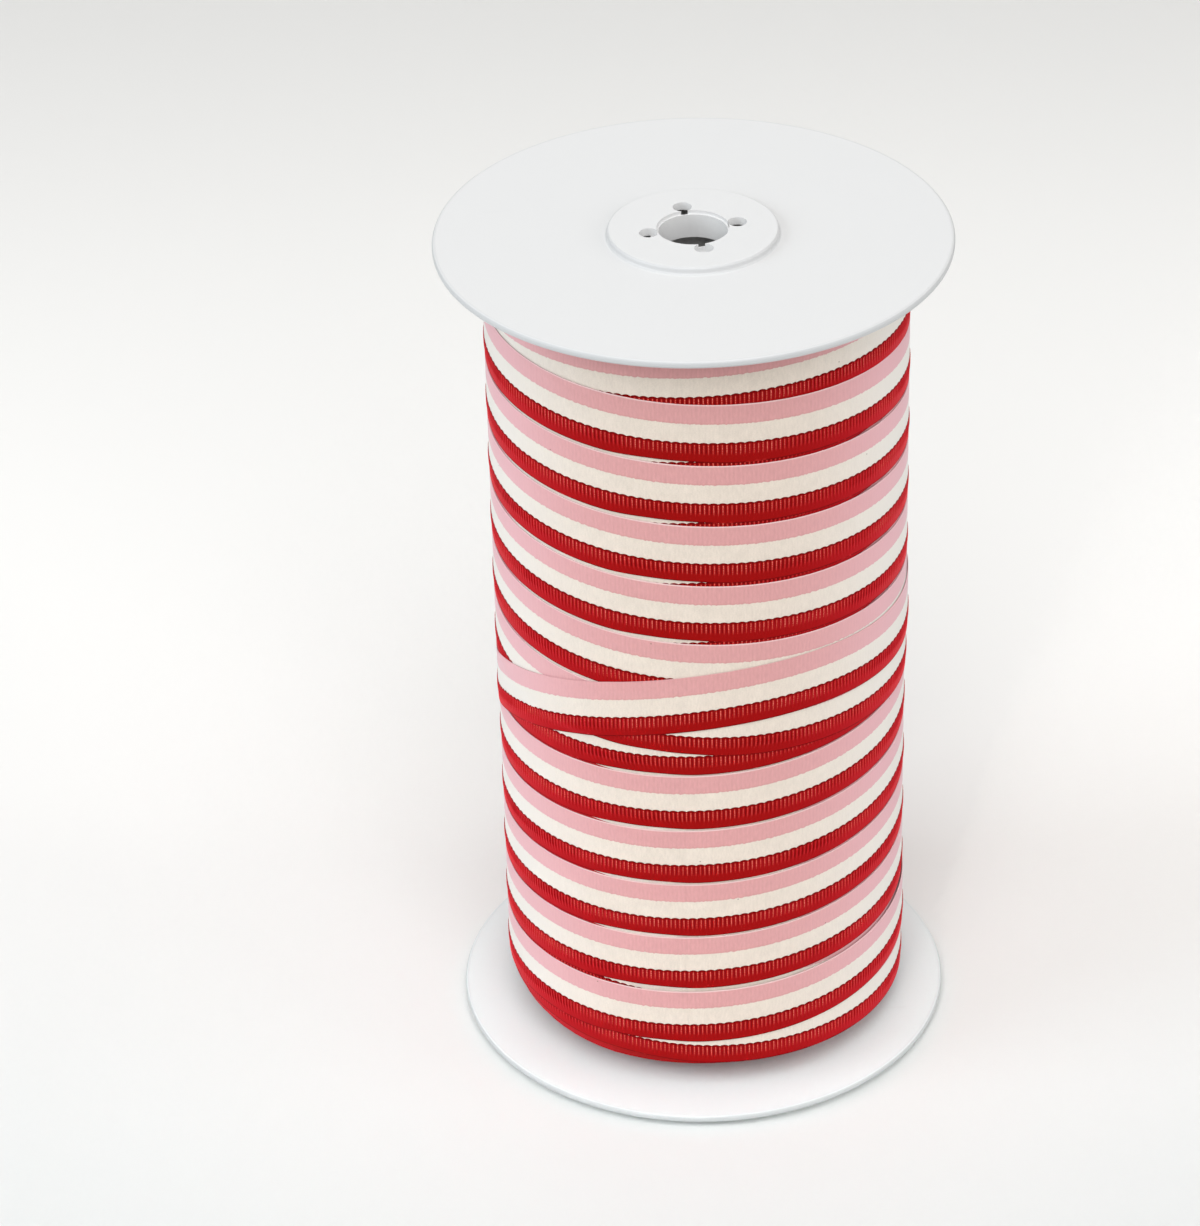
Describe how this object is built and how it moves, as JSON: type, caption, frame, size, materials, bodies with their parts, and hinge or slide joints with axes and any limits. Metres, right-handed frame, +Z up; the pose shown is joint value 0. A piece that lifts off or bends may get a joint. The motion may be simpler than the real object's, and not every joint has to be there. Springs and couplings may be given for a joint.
{
  "type": "ribbon spool",
  "caption": "Flanged spool of woven three-stripe ribbon, standing on end, with a spindle bore, drive holes and a loose ribbon end.",
  "frame": {"origin": "centre of the lower hub's face, on the spool's axis, where the spool stands", "axes": "+Z up along the spool's axis"},
  "size_m": [0.1, 0.1, 0.1789],
  "materials": {
    "spool_plastic": "satin white moulded plastic",
    "core_board": "plain spiral-wound board",
    "ribbon": "woven ribbon in pink, cream and red stripes with ribbed red",
    "tape": "thin translucent adhesive tape"
  },
  "bodies": {
    "spool": {"top_flange": "spool_plastic", "bottom_flange": "spool_plastic", "core_tube": "core_board", "start_tape": "tape", "ribbon_pack": "ribbon", "ribbon_under_run": "ribbon", "ribbon_rising_run": "ribbon", "ribbon_outer_run": "ribbon", "ribbon_last_turn": "ribbon"},
    "ribbon_end": {"ribbon_tail": "ribbon", "end_tape": "tape"}
  },
  "joints": [
    {"name": "ribbon_end_peel", "type": "hinge", "parent": "spool", "child": "ribbon_end", "pos_m": [0.0412, 0.00764, 0.0982], "axis": [0, 0, -1], "range_deg": [0, 100]}
  ]
}
